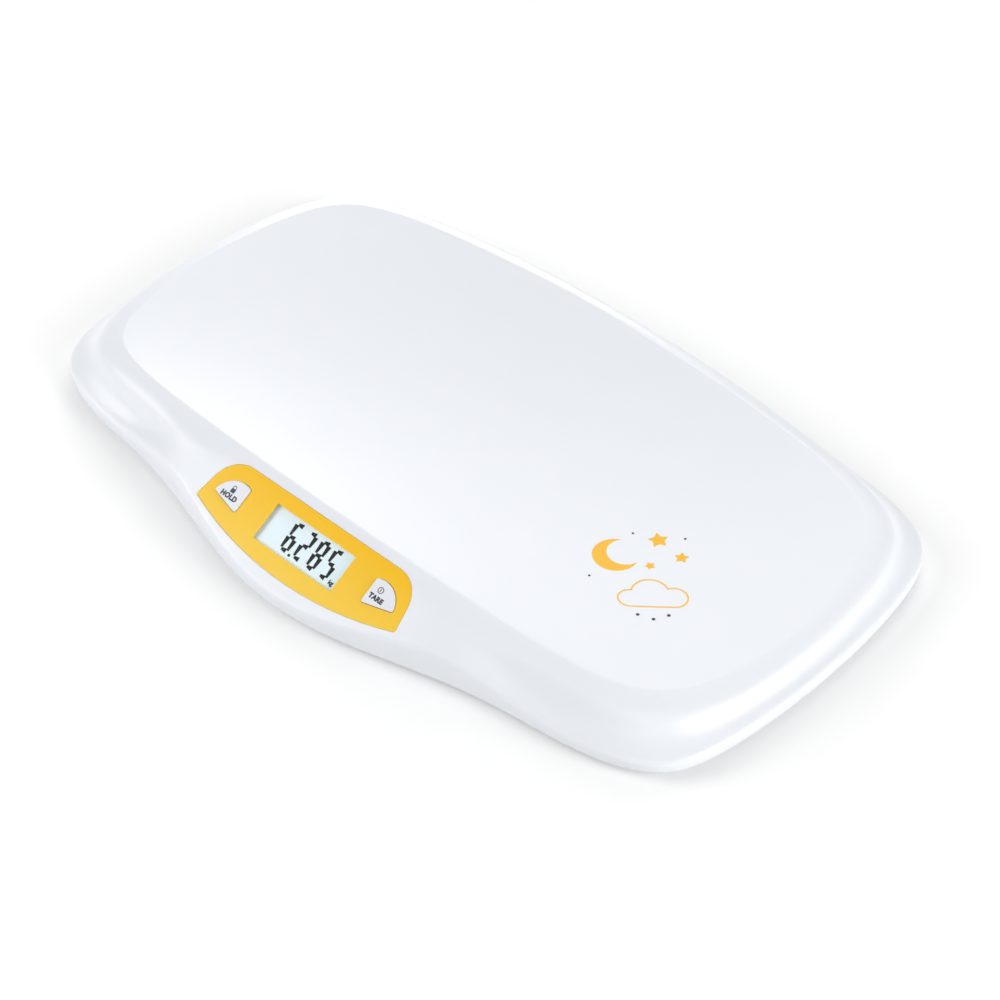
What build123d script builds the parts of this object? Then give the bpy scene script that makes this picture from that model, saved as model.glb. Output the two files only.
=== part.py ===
from build123d import *
import math
import os

# Digital baby weighing scale. Millimetres, +Z up, the feet stand on z = 0.
# +X runs along the long side, -Y is the side with the display, and the origin is
# the middle of the object's plan on the surface that it stands on.

# Housing outline, seen from above
half_length = 277.5          # middle to the tip of either end
half_depth = 152.8           # tray middle to the plain part of a long side
outline_power = 9.4          # 2 is an ellipse, larger is squarer
end_bow = 0.064              # share by which the ends draw in towards the corners
side_bow = 0.107             # and the long sides
bulge_reach = 27.1           # how far the control panel stands out in front
bulge_half_width = 184.0     # where the bulge has run out into the long side

# Housing section
floor_gap = 6.0              # lower edge of the housing above the floor
edge_radius = 3.1            # rounding of the outer edge
edge_undercut = 0.8          # the lower edge sits this far inside the widest line
flange_height = 15.6         # flange above the floor, just inside the edge rounding
flange_slope = 0.4           # rise of the flange where it begins
foot_share = 0.6             # how far the hollow reaches across the side, as a share of its width
foot_reach = 25.0            # and the most that it reaches
rim_slope = 0.18             # fall of the outside where it leaves the tray's rim
rim_share = 0.97             # how far the rounded top reaches across the side, as a share
rim_reach = 24.9             # and the most that it reaches
wall = 2.5                   # thickness of the moulded shell

# Weighing tray
end_flange = 23.5            # tip of an end to the tray's rim
side_flange = 27.5           # plain line of a long side to the tray's rim
rim_power = 9.6
rim_end_bow = 0.108
rim_side_bow = 0.113
rim_radius = 4.0             # rounding of the rim
trough_floor = 29.2          # lowest point of the tray above the floor
trough_end_rise = 0.8        # rise of the trough's middle line towards each end
trough_side_rise = 16.4      # rise from the middle line to the rim of a long side
trough_taper = 326.0         # distance along X at which the side rise would be nil

# Control panel, a flat slope in front of the tray
panel_set_back = 29.6        # front of the bulge to the middle of the display window
panel_height = 32.5          # middle of the display window above the floor
panel_tilt = 30.0            # degrees
panel_half_width = 88.0      # the slope is flat up to here
panel_blend_width = 108.0    # then it runs out into the flange
panel_top_blend = 0.4        # softness of the turn from the slope to the rim's outer side
panel_thickness = 5.0        # the shell is thickened behind the panel
pad_half_width = 92.0
pad_low = -22.0              # along the slope, from the window's middle
pad_high = 24.5

# Faceplate, recessed in the panel (u across, v up the slope)
face_recess = 1.4
face_thickness = 1.2
face_gap = 0.25
face_low_half_width = 85.3
face_low_v = -10.5
face_tip_v = -24.6
face_top_half_width = 79.5
face_top_v = 21.6
face_top_radius = 20.0
face_low_radius = 1.5

# Display
window_width = 67.0
window_height = 25.2
window_radius = 0.8
lens_width = 78.0
lens_height = 36.0
lens_thickness = 1.2
lcd_width = 74.0
lcd_height = 32.0
lcd_thickness = 2.6
lcd_gap = 0.2
fit_gap = 0.3                # general moulding clearance
frame_wall = 4.0             # plastic left around the display glass
strip_thickness = 2.0        # rubber contact strips between glass and board
strip_length = 60.0
strip_v = 13.0

# Keys: a quarter-leaf shape on each side of the window
key_inner_u = 54.4
key_low_v = -7.2
key_high_v = 9.7
key_shoulder_u = 70.9
key_shoulder_v = 7.0
key_tip_u = 76.1
key_tip_v = -2.1
key_corner_radius = 1.2
key_gap = 0.35
key_proud = 0.8
key_travel = 0.8
key_cap = 1.6                # thickness of the key's top
key_wall = 1.3
key_lip = 0.9                # retaining lip that stands out under the panel
key_lip_thickness = 0.8
key_stem_radius = 2.2
key_stem_offset = 2.0        # from the key's mid width towards the window, under its deep part
key_edge_radius = 0.4

# Main board under the panel
board_depth = 12.0           # panel face to the board's front side
board_half_width = 80.0
board_half_height = 19.5
board_thickness = 1.6
post_radius = 3.0
post_u = 75.5
post_low_v = -12.5
post_high_v = 14.5
board_screw_radius = 1.1
board_screw_length = 6.5
board_screw_head_radius = 2.1
board_screw_head = 1.4
board_screw_gap = 0.2
switch_size = 6.0
switch_height = 3.4
switch_floor = 0.4
plunger_radius = 1.7
plunger_gap = 0.05
plunger_reach = 0.9          # plunger above the switch
plunger_length = 2.9
chip_u = -40.0
chip_size = 12.0
chip_thickness = 1.6
header_width = 8.0
header_depth = 5.0
header_height = 4.6
header_pitch = 13.0
header_v = 4.0

# Base plate
cover_recess = 0.4           # underside of the base plate above the housing's edge
cover_thickness = 2.6
cover_gap = 0.4
rib_thickness = 1.8
rib_height = 5.0
rib_from_cell = 73.0         # end of the long ribs to the load cells' middle
rib_front_inset = 100.8      # plain line of the long side to the rib beside it
rib_back_inset = 74.8
rib_cross_x = 92.0
rib_notch_x = 20.0           # the battery lead passes here
rib_notch = 16.0
label_x = -112.0
label_y = 12.0
label_width = 64.0
label_height = 34.0
label_thickness = 0.3

# Housing screws, on both sides
end_screw_inset = 31.5       # tip of an end to the screw there
cell_screw_x = 55.0          # load cell's middle to the screw beside it
cell_screw_inset = 52.8      # plain line of the long side to that screw
back_screw_x = 60.0
back_screw_inset = 44.8
panel_screw_x = 99.0
panel_screw_back = 15.6      # behind the middle of the display window
boss_radius = 4.2
seat_height = 2.5            # screw seat that stands up from the base plate
seat_radius = 5.0
screw_radius = 1.45
screw_length = 12.0
screw_head_radius = 2.8
screw_head = 2.0
screw_head_depth = 0.4       # head below the base plate's face
screw_gap = 0.25
screw_head_gap = 0.4
pilot_room = 0.5

# Load cells and feet, one in each corner
cell_end_inset = 72.5        # tip of an end to the cells' middle
cell_side_inset = 60.8       # plain line of a long side to the cells' middle
foot_radius = 18.0
foot_gap = 1.5
foot_low = 1.6               # lower rim of the foot above the floor
foot_top_gap = 1.0           # foot to load-cell carrier
foot_edge = 1.2
foot_pad_radius = 15.0
foot_pad_thickness = 2.6
foot_pad_edge = 0.6
hub_radius = 6.0
carrier_size = 46.0
carrier_floor = 1.6
carrier_height = 8.0
carrier_wall = 2.6
carrier_hole_radius = 10.0
carrier_notch = 6.0          # way out for the cell's lead
cell_lift = 0.9              # ledges keep the cell clear of the carrier's floor
cell_size = 36.0
cell_thickness = 2.0
cell_arm = 5.0
cell_slot = 1.6
ledge_size = 7.0
gauge_length = 10.0
gauge_width = 4.0
gauge_thickness = 0.8
ear_radius = 4.0
ear_thickness = 2.2
ear_offset = 25.5
ear_screw_radius = 1.1
ear_screw_length = 4.0
ear_screw_head_radius = 2.2
ear_screw_head = 1.3

# Battery bay, three small round cells side by side
battery_count = 3
battery_radius = 5.25
battery_length = 43.3
battery_nub_radius = 1.9
battery_nub = 1.2
battery_pitch = 11.2
battery_lift = 0.5           # cells above the door
battery_room = 0.5           # cells to the bay's roof and side walls
bay_y = 36.0                 # from the tray middle
bay_wall = 1.8
door_thickness = 2.0
door_gap = 0.3
door_lap = 1.4               # the door laps over the bay's edge
pin_radius = 0.6
pin_length = 1.6
pin_gap = 0.05
hinge_boss = 4.0
contact_thickness = 0.4
contact_size = 8.0
spring_reach = 2.2
spring_width = 5.0
tab_length = 2.5
tab_width = 3.0
grip_radius = 7.0
grip_depth = 1.1

# Leads inside the housing
lead_diameter = 2.0
lead_lift = 0.1
lead_turn = 34.0             # load cell's middle to the point where its lead turns in

# Fineness of the sculpted skin
skin_samples = 96
skin_rings = 28
skin_top = 64.0              # the skin runs on past the rim and is then cut off
skin_lift = 0.08             # how fast it turns up there
patch_room = 60.0            # the tray's surface runs this far past the housing
profile_step = 0.5

os.makedirs("parts", exist_ok=True)


# ---------------------------------------------------------------- outline and skin

def squircle(angle, power):
    c = math.cos(angle)
    s = math.sin(angle)
    r = (abs(c) ** power + abs(s) ** power) ** (-1 / power)
    return r * c, r * s


def plain_outline(angle):
    u, v = squircle(angle, outline_power)
    x = half_length * u * (1 - end_bow * v * v)
    y = half_depth * v * (1 - side_bow * u * u)
    if y < 0 and abs(x) < bulge_half_width:
        y -= bulge_reach * (1 - (x / bulge_half_width) ** 2) ** 3
    return x, y


skin_angles = [math.pi / 2 + 2 * math.pi * i / skin_samples for i in range(skin_samples)]
skin_steps = [i / skin_samples for i in range(skin_samples + 1)]
plan_y = [plain_outline(a)[1] for a in skin_angles]
tray_y = -(max(plan_y) + min(plan_y)) / 2      # tray middle, behind the origin
rim_half_length = half_length - end_flange
rim_half_depth = half_depth - side_flange
panel_reach = half_depth + bulge_reach - panel_set_back
panel_y = tray_y - panel_reach
tilt = math.radians(panel_tilt)


def outline(angle):
    x, y = plain_outline(angle)
    return x, y + tray_y


def rim_line(angle):
    u, v = squircle(angle, rim_power)
    x = rim_half_length * u * (1 - rim_end_bow * v * v)
    y = rim_half_depth * v * (1 - rim_side_bow * u * u)
    return x, y + tray_y


def trough_height(x, y):
    side = (y - tray_y) / rim_half_depth
    rise = trough_side_rise * (1 - (x / trough_taper) ** 2)
    return trough_floor + trough_end_rise * (x / rim_half_length) ** 2 + rise * side * side


def panel_share(x, y):
    # 1 on the control panel, 0 away from it, with a soft run between
    if y > tray_y:
        return 0.0
    t = (panel_half_width + panel_blend_width - abs(x)) / panel_blend_width
    t = min(max(t, 0.0), 1.0)
    return t ** 3 * (t * (6 * t - 15) + 10)


def resample(points, count):
    # count + 1 points along a run of points, closer together at its start
    reach = [0.0]
    for (x0, z0), (x1, z1) in zip(points, points[1:]):
        reach.append(reach[-1] + math.hypot(x1 - x0, z1 - z0))
    result = [points[0]]
    j = 1
    for i in range(1, count + 1):
        t = i / count
        target = reach[-1] * (0.4 * t + 0.6 * t * t)
        while j < len(points) - 1 and reach[j] < target:
            j += 1
        f = (target - reach[j - 1]) / (reach[j] - reach[j - 1])
        (x0, z0), (x1, z1) = points[j - 1], points[j]
        result.append((x0 + (x1 - x0) * f, z0 + (z1 - z0) * f))
    return result


def moved_in(points, inset):
    # A section moved inwards by inset, square to itself
    result = []
    last = len(points) - 1
    for i, (d, z) in enumerate(points):
        d0, z0 = points[max(i - 1, 0)]
        d1, z1 = points[min(i + 1, last)]
        run = math.hypot(d1 - d0, z1 - z0)
        result.append((d + inset * (z1 - z0) / run, z - inset * (d1 - d0) / run))
    return [(result[0][0], floor_gap)] + result[1:]


def blend(values, t):
    # Cubic curve through the first and last value, drawn towards the two between
    a, b, c, d = values
    s = 1 - t
    return s * s * s * a + 3 * s * s * t * b + 3 * s * t * t * c + t * t * t * d


def curve_at(run, rise, d):
    # Height of the curve at the distance d, found by halving
    low = 0.0
    high = 1.0
    for _ in range(30):
        t = (low + high) / 2
        if blend(run, t) < d:
            low = t
        else:
            high = t
    return blend(rise, t)


def skin_column(angle, inset):
    # One section of the housing's skin, from the lower edge up past the rim, moved inwards by inset
    ox, oy = outline(angle)
    rx, ry = rim_line(angle)
    width = math.hypot(rx - ox, ry - oy)
    dx = (rx - ox) / width
    dy = (ry - oy) / width
    rim_height = trough_height(rx, ry)

    span = width - edge_radius
    foot = min(foot_share * span, foot_reach)
    top = min(rim_share * span, rim_reach)
    run = (edge_radius, edge_radius + foot, width - top, width)
    rise = (flange_height, flange_height + foot * flange_slope, rim_height - top * rim_slope, rim_height)

    def height(d):
        x = ox + dx * d
        y = oy + dy * d
        # past the rim the skin only runs on so that the tray can be cut out of it
        past = max(d - width, 0.0)
        rim_side = rim_height + rim_slope * (d - width)
        if d < width:
            base = curve_at(run, rise, d)
        else:
            base = rim_side
        slope = panel_height + (y - panel_y) * math.tan(tilt)
        slope = (slope + rim_side - math.hypot(slope - rim_side, 2 * panel_top_blend)) / 2
        share = panel_share(x, y)
        return (1 - share) * base + share * slope + skin_lift * past * past

    step = 0.05
    edge_rise = (height(edge_radius + step) - height(edge_radius)) / step
    lean = math.atan(max(edge_rise, 0.0))
    center = height(edge_radius) - edge_radius / math.cos(lean)
    points = []
    for k in range(8):
        # the lower edge's undercut dies away towards the middle of the rounding
        t = k / 8
        points.append((edge_undercut * (1 - t) ** 2, floor_gap + (center - floor_gap) * t))
    for k in range(13):
        turn = (math.pi / 2 - lean) * k / 12
        points.append((edge_radius * (1 - math.cos(turn)), center + edge_radius * math.sin(turn)))
    while points[-1][1] < skin_top + 2 * wall:
        d = points[-1][0]
        slope = (height(d + step) - height(d)) / step
        d += profile_step / math.hypot(1, slope)
        points.append((d, height(d)))
    if inset:
        points = moved_in(points, inset)
    while points[-2][1] > skin_top:
        points.pop()
    (d0, z0), (d1, z1) = points[-2:]
    points[-1] = (d0 + (d1 - d0) * (skin_top - z0) / (z1 - z0), skin_top)
    return [Vector(ox + dx * d, oy + dy * d, z) for d, z in resample(points, skin_rings)]


def ring_wire(points):
    return Wire([Edge.make_spline(list(points), periodic=True, parameters=skin_steps)])


def skin_solid(inset):
    columns = [skin_column(a, inset) for a in skin_angles]
    return Solid.make_loft([ring_wire(ring) for ring in zip(*columns)])


def above_trough(drop):
    # Everything above the tray's surface, lowered by drop: the surface is a patch with 3 by 3 poles
    reach_x = half_length + patch_room
    reach_y = half_depth + bulge_reach + patch_room
    square_x = [reach_x ** 2, -reach_x ** 2, reach_x ** 2]
    square_y = [reach_y ** 2, -reach_y ** 2, reach_y ** 2]
    poles = []
    for i in range(3):
        row = []
        for j in range(3):
            z = trough_floor - drop + trough_end_rise * square_x[i] / rim_half_length ** 2
            z += trough_side_rise * (1 - square_x[i] / trough_taper ** 2) * square_y[j] / rim_half_depth ** 2
            row.append((reach_x * (i - 1), tray_y + reach_y * (j - 1), z))
        poles.append(row)
    return Solid.extrude(Face.make_bezier_surface(poles), Vector(0, 0, 400))


def on_trough(edge):
    for t in (0.1, 0.35, 0.6, 0.9):
        p = edge.position_at(t)
        if abs(p.Z - trough_height(p.X, p.Y)) > 0.02:
            return False
    return True


def outline_face(inset, z):
    # The housing's outline moved inwards by inset, as a flat face at height z
    points = []
    turn = 0.001
    for a in skin_angles:
        x, y = outline(a)
        x0, y0 = outline(a - turn)
        x1, y1 = outline(a + turn)
        run = math.hypot(x1 - x0, y1 - y0)
        points.append(Vector(x - inset * (y1 - y0) / run, y + inset * (x1 - x0) / run, z))
    return Face(ring_wire(points))


# ---------------------------------------------------------------- helpers

def rod(x, y, low, high, radius):
    return Pos(x, y, low) * Cylinder(radius, high - low, align=(Align.CENTER, Align.CENTER, Align.MIN))


def block(x, y, low, high, size_x, size_y):
    return Pos(x, y, low) * Box(size_x, size_y, high - low, align=(Align.CENTER, Align.CENTER, Align.MIN))


panel = Plane(
    origin=(0, panel_y, panel_height),
    x_dir=(1, 0, 0),
    z_dir=(0, -math.sin(tilt), math.cos(tilt)),
).location


def on_panel(shape):
    return panel * shape


def panel_prism(face, low, high):
    # A flat outline in the panel's own plane, from low to high along the panel's normal
    return on_panel(Pos(0, 0, low) * Solid.extrude(face.face(), Vector(0, 0, high - low)))


def panel_block(u, v, low, high, size_u, size_v):
    return on_panel(block(u, v, low, high, size_u, size_v))


def panel_rod(u, v, low, high, radius):
    return on_panel(rod(u, v, low, high, radius))


def grown(face, amount):
    return offset(face, amount=amount, kind=Kind.ARC).face()


def mirrored(shape):
    return mirror(shape, about=Plane.YZ)


def all_solids(shapes):
    found = []
    for shape in shapes:
        found.extend(shape.solids())
    return found


def save(name, shape):
    solids = shape.solids()
    export_step(solids[0] if len(solids) == 1 else Compound(solids), f"parts/{name}.step")


def save_group(name, shapes):
    export_step(Compound(all_solids(shapes)), f"parts/{name}.step")


def cross_screw(radius, length, head_radius, head):
    # Points up: the head's underside is at z = 0
    body = rod(0, 0, 0, length, radius) + rod(0, 0, -head, 0, head_radius)
    body = body.fillet(head * 0.3, body.edges().filter_by(GeomType.CIRCLE).group_by(Axis.Z)[0])
    slot = head_radius * 1.1
    depth = head * 0.55
    for sx, sy in ((slot, head * 0.35), (head * 0.35, slot)):
        body -= block(0, 0, -head - 1, depth - head, sx, sy)
    return body


# ---------------------------------------------------------------- levels and places

cover_bottom = floor_gap + cover_recess
cover_top = cover_bottom + cover_thickness
seat_top = cover_top + seat_height
screw_seat = cover_bottom + screw_head_depth + screw_head
cell_x = half_length - cell_end_inset
cell_y = half_depth - cell_side_inset
screw_places = [
    (half_length - end_screw_inset, 0),
    (cell_x - cell_screw_x, half_depth - cell_screw_inset),
    (back_screw_x, half_depth - back_screw_inset),
    (cell_x - cell_screw_x, cell_screw_inset - half_depth),
    (panel_screw_x, panel_screw_back - panel_reach),
]
screw_spots = [(side * x, tray_y + y) for x, y in screw_places for side in (-1, 1)]
post_spots = [(u, v) for u in (-post_u, post_u) for v in (post_low_v, post_high_v)]
corners = {
    "front_left": (-1, -1),
    "front_right": (1, -1),
    "back_left": (-1, 1),
    "back_right": (1, 1),
}

pad_back = -panel_thickness
face_back = -face_recess
lens_back = face_back - lens_thickness
lcd_front = lens_back - lcd_gap
lcd_back = lcd_front - lcd_thickness
board_front = -board_depth
board_back = board_front - board_thickness

lens_pocket = (lens_width + fit_gap, lens_height + fit_gap)
lcd_pocket = (lcd_width + 2 * fit_gap, lcd_height + 2 * fit_gap)


# ---------------------------------------------------------------- flat outlines in the panel's plane

window_face = Face.make_rect(window_width, window_height)
window_face = window_face.fillet_2d(window_radius, window_face.vertices())

low_left = (-face_low_half_width, face_low_v)
low_right = (face_low_half_width, face_low_v)
top_left = (-face_top_half_width, face_top_v)
top_right = (face_top_half_width, face_top_v)
face_outline = Face(Wire([
    Edge.make_three_point_arc(low_left, (0, face_tip_v), low_right),
    Edge.make_line(low_right, top_right),
    Edge.make_line(top_right, top_left),
    Edge.make_line(top_left, low_left),
]))
face_outline = face_outline.fillet_2d(face_top_radius, face_outline.vertices().sort_by(Axis.Y)[2:])
face_outline = face_outline.fillet_2d(face_low_radius, face_outline.vertices().sort_by(Axis.Y)[:2])

key_inner_low = (key_inner_u, key_low_v)
key_inner_high = (key_inner_u, key_high_v)
key_shoulder = (key_shoulder_u, key_shoulder_v)
key_tip = (key_tip_u, key_tip_v)
key_outline = Face(Wire([
    Edge.make_line(key_inner_high, key_inner_low),
    Edge.make_line(key_inner_low, key_tip),
    Edge.make_three_point_arc(key_tip, key_shoulder, key_inner_high),
]))
key_outline = key_outline.fillet_2d(key_corner_radius, key_outline.vertices())
key_hole = grown(key_outline, key_gap)
key_u = (key_inner_u + key_tip_u) / 2 - key_stem_offset
key_v = (key_low_v + key_high_v) / 2


# ---------------------------------------------------------------- top shell

outer = skin_solid(0.0) - above_trough(0.0)
outer = outer.solids()[0]
outer = outer.fillet(rim_radius, [e for e in outer.edges() if on_trough(e)])
cavity = skin_solid(wall) - above_trough(wall)

kept = [panel_block(0, (pad_low + pad_high) / 2, pad_back, 20, 2 * pad_half_width, pad_high - pad_low)]
for x, y in screw_spots:
    kept.append(rod(x, y, seat_top, skin_top, boss_radius))
for u, v in post_spots:
    kept.append(panel_rod(u, v, board_front, 0, post_radius))
cavity = cavity.solids()[0].cut(*kept).solids()[0]

# Both skins are closed by one flat ring around the lower edge
outer_base = outer.faces().sort_by(Axis.Z)[0]
inner_base = cavity.faces().sort_by(Axis.Z)[0]
lower_edge = Face(outer_base.outer_wire(), [inner_base.outer_wire()])
skins = [f for f in outer.faces() if not f.is_same(outer_base)]
skins += [f for f in cavity.faces() if not f.is_same(inner_base)]
top_shell = Solid(Shell(skins + [lower_edge]))

cuts = [
    panel_prism(grown(face_outline, face_gap), face_back, 20),
    panel_block(0, 0, lens_back, 0, *lens_pocket),
    panel_block(0, 0, board_front, 0, *lcd_pocket),
    panel_prism(key_hole, board_front, 1),
    panel_prism(mirrored(key_hole), board_front, 1),
]
for x, y in screw_spots:
    cuts.append(rod(x, y, seat_top - 1, screw_seat + screw_length + pilot_room, screw_radius))
for u, v in post_spots:
    cuts.append(panel_rod(u, v, board_back, board_back + board_screw_length + pilot_room, board_screw_radius))
for cut in cuts:
    top_shell = top_shell.cut(cut)
save("top_shell", top_shell)


# ---------------------------------------------------------------- faceplate and display

faceplate = panel_prism(face_outline, face_back, face_back + face_thickness)
face_cuts = [panel_prism(window_face, -5, 5)]
for hole in (key_hole, mirrored(key_hole)):
    face_cuts.append(panel_prism(hole, -5, 5))
save("faceplate", faceplate.cut(*face_cuts))

save("display_window", panel_block(0, 0, lens_back, face_back, lens_width, lens_height))
save("lcd_glass", panel_block(0, 0, lcd_back, lcd_front, lcd_width, lcd_height))

strip_slot_u = strip_length + fit_gap
strip_slot_v = strip_thickness + fit_gap
frame_opening = 2 * (strip_v - strip_thickness)
frame_size = (lcd_width + 2 * frame_wall, lcd_height + 2 * frame_wall - 2)
lcd_frame = panel_block(0, 0, board_front, pad_back, *frame_size)
frame_cuts = [
    panel_block(0, 0, lcd_back, 0, *lcd_pocket),
    panel_block(0, 0, board_front - 1, 0, lcd_width - 2 * frame_wall, frame_opening),
]
strips = []
for v in (-strip_v, strip_v):
    frame_cuts.append(panel_block(0, v, board_front - 1, 0, strip_slot_u, strip_slot_v))
    strips.append(panel_block(0, v, board_front, lcd_back, strip_length, strip_thickness))
save("lcd_frame", lcd_frame.cut(*frame_cuts))
save_group("contact_strips", strips)


# ---------------------------------------------------------------- main board

board_size = (2 * board_half_width, 2 * board_half_height)
main_board = panel_block(0, 0, board_back, board_front, *board_size)
board_holes = []
board_screws = []
for u, v in post_spots:
    board_holes.append(panel_rod(u, v, board_back - 1, 0, board_screw_radius + board_screw_gap))
    screw = cross_screw(board_screw_radius, board_screw_length, board_screw_head_radius, board_screw_head)
    board_screws.append(on_panel(Pos(u, v, board_back) * screw))
save("main_board", main_board.cut(*board_holes))
save_group("board_screws", board_screws)
chip_top = board_back - chip_thickness
save("main_chip", panel_block(chip_u, header_v, chip_top, board_back, chip_size, chip_size))

header_back = board_back - header_height
header_us = [header_pitch * i for i in (-2, -1, 0, 1, 2)]
headers = []
for u in header_us:
    headers.append(panel_block(u, header_v, header_back, board_back, header_width, header_depth))
save_group("board_headers", headers)


# ---------------------------------------------------------------- keys and their switches

switch_top = board_front + switch_height
plunger_top = switch_top + plunger_reach


def key_solid():
    cap_back = key_proud - key_cap
    lip_top = pad_back - 0.1
    skirt_back = lip_top - key_lip_thickness
    inside = grown(key_outline, -key_wall)
    shape = Pos(0, 0, cap_back) * Solid.extrude(key_outline, Vector(0, 0, key_cap))
    top_edges = shape.edges().filter_by(lambda e: abs(e.center().Z - key_proud) < 0.001)
    shape = shape.fillet(key_edge_radius, top_edges)
    skirt = Solid.extrude(key_outline, Vector(0, 0, cap_back - skirt_back))
    lip = Solid.extrude(grown(key_outline, key_lip), Vector(0, 0, key_lip_thickness))
    hollow = Solid.extrude(inside, Vector(0, 0, cap_back - skirt_back))
    shape = shape.fuse(Pos(0, 0, skirt_back) * (skirt.fuse(lip) - hollow))
    return shape.fuse(rod(key_u, key_v, plunger_top, cap_back + 0.2, key_stem_radius))


key = key_solid()
switch_bore = plunger_radius + plunger_gap
for name, side in (("hold", -1), ("tare", 1)):
    save(f"{name}_button", on_panel(key if side > 0 else mirrored(key)))
    u = side * key_u
    switch = panel_block(u, key_v, board_front, switch_top, switch_size, switch_size)
    save(f"{name}_switch", switch - panel_rod(u, key_v, board_front + switch_floor, 0, switch_bore))
    plunger = panel_rod(u, key_v, plunger_top - plunger_length, plunger_top, plunger_radius)
    save(f"{name}_plunger", plunger)


# ---------------------------------------------------------------- battery bay and door

bay_center = tray_y + bay_y
bay_half_x = (battery_length + battery_nub + spring_reach) / 2 + contact_thickness
bay_half_y = battery_pitch * (battery_count - 1) / 2 + battery_radius + battery_room
door_top = cover_bottom + door_thickness
cell_axis = door_top + battery_lift + battery_radius
bay_roof = cell_axis + battery_radius + battery_room
hinge_y = bay_center + bay_half_y + bay_wall + door_thickness / 2
hinge_z = cover_bottom + door_thickness / 2
door_half_x = bay_half_x + door_lap
door_front = bay_center - bay_half_y - door_lap
door_center = (door_front + hinge_y) / 2
door_reach = hinge_y - door_front


def bar_x(x, y, z, length, radius):
    return Pos(x, y, z) * Rot(0, 90, 0) * Cylinder(radius, length)


battery_door = block(0, door_center, cover_bottom, door_top, 2 * door_half_x, door_reach)
battery_door += bar_x(0, hinge_y, hinge_z, 2 * door_half_x, door_thickness / 2)
battery_door += bar_x(0, hinge_y, hinge_z, 2 * (door_half_x + pin_length), pin_radius)
grip_y = door_front + grip_radius + 1.5
for i in range(4):
    groove = block(0, grip_y + 2.2 * i, cover_bottom, cover_bottom + 0.5, 18, 1.0)
    battery_door -= groove
save("battery_door", battery_door)

batteries = []
plates = []
springs = []
for i in range(battery_count):
    side = 1 if i % 2 == 0 else -1
    y = bay_center + battery_pitch * (i - (battery_count - 1) / 2)
    end = bay_half_x - contact_thickness
    nub_center = side * (end - battery_nub / 2)
    can_center = side * (end - battery_nub - battery_length / 2)
    battery = bar_x(can_center, y, cell_axis, battery_length, battery_radius)
    battery = battery.fillet(0.5, battery.edges().filter_by(GeomType.CIRCLE))
    battery += bar_x(nub_center, y, cell_axis, battery_nub, battery_nub_radius)
    save(f"battery_{i + 1}", battery)
    for sign in (-1, 1):
        x = sign * (bay_half_x - contact_thickness / 2)
        plate_low = cell_axis - contact_size / 2
        plates.append(block(x, y, plate_low, plate_low + contact_size, contact_thickness, contact_size))
    spring_low = cell_axis - spring_width / 2
    spring = rod(-side * end, y, spring_low, spring_low + spring_width, spring_reach)
    spring -= rod(-side * end, y, spring_low - 1, spring_low + spring_width + 1, spring_reach - contact_thickness)
    half = block(-side * (end - spring_reach), y, 0, 40, 2 * spring_reach, 4 * spring_reach)
    springs.append(spring & half)
tab_y = bay_center + battery_pitch * (battery_count - 1) / 2
tab_end = bay_half_x + bay_wall + tab_length
tab_size = tab_end - bay_half_x
tab_low = cell_axis - contact_thickness / 2
tab = block(bay_half_x + tab_size / 2, tab_y, tab_low, tab_low + contact_thickness, tab_size, tab_width)
save_group("battery_plates", plates + [tab])
save_group("battery_springs", springs)


# ---------------------------------------------------------------- base plate

base_inset = edge_undercut + wall + cover_gap
bottom_cover = Solid.extrude(outline_face(base_inset, cover_bottom), Vector(0, 0, cover_thickness))

rib_low = cover_bottom + 1
rib_top = cover_top + rib_height
rib_half_length = cell_x - rib_from_cell
rib_front = rib_front_inset - half_depth
rib_back = half_depth - rib_back_inset
rib_left = rib_notch_x - rib_notch / 2 + rib_half_length
rib_right = rib_half_length - rib_notch_x - rib_notch / 2
added = [
    block(rib_left / 2 - rib_half_length, tray_y + rib_front, rib_low, rib_top, rib_left, rib_thickness),
    block(rib_half_length - rib_right / 2, tray_y + rib_front, rib_low, rib_top, rib_right, rib_thickness),
    block(0, tray_y + rib_back, rib_low, rib_top, 2 * rib_half_length, rib_thickness),
]
rib_run = rib_back - rib_front
for side in (-1, 1):
    middle = tray_y + (rib_back + rib_front) / 2
    added.append(block(side * rib_cross_x, middle, rib_low, rib_top, rib_thickness, rib_run))
    boss_x = side * (door_half_x + door_gap + hinge_boss / 2)
    added.append(block(boss_x, hinge_y, rib_low, cover_top + 1, hinge_boss, hinge_boss))
for x, y in screw_spots:
    added.append(rod(x, y, rib_low, seat_top, seat_radius))
bay_outer = (2 * (bay_half_x + bay_wall), 2 * (bay_half_y + bay_wall))
added.append(block(0, bay_center, door_top, bay_roof + bay_wall, *bay_outer))

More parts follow.
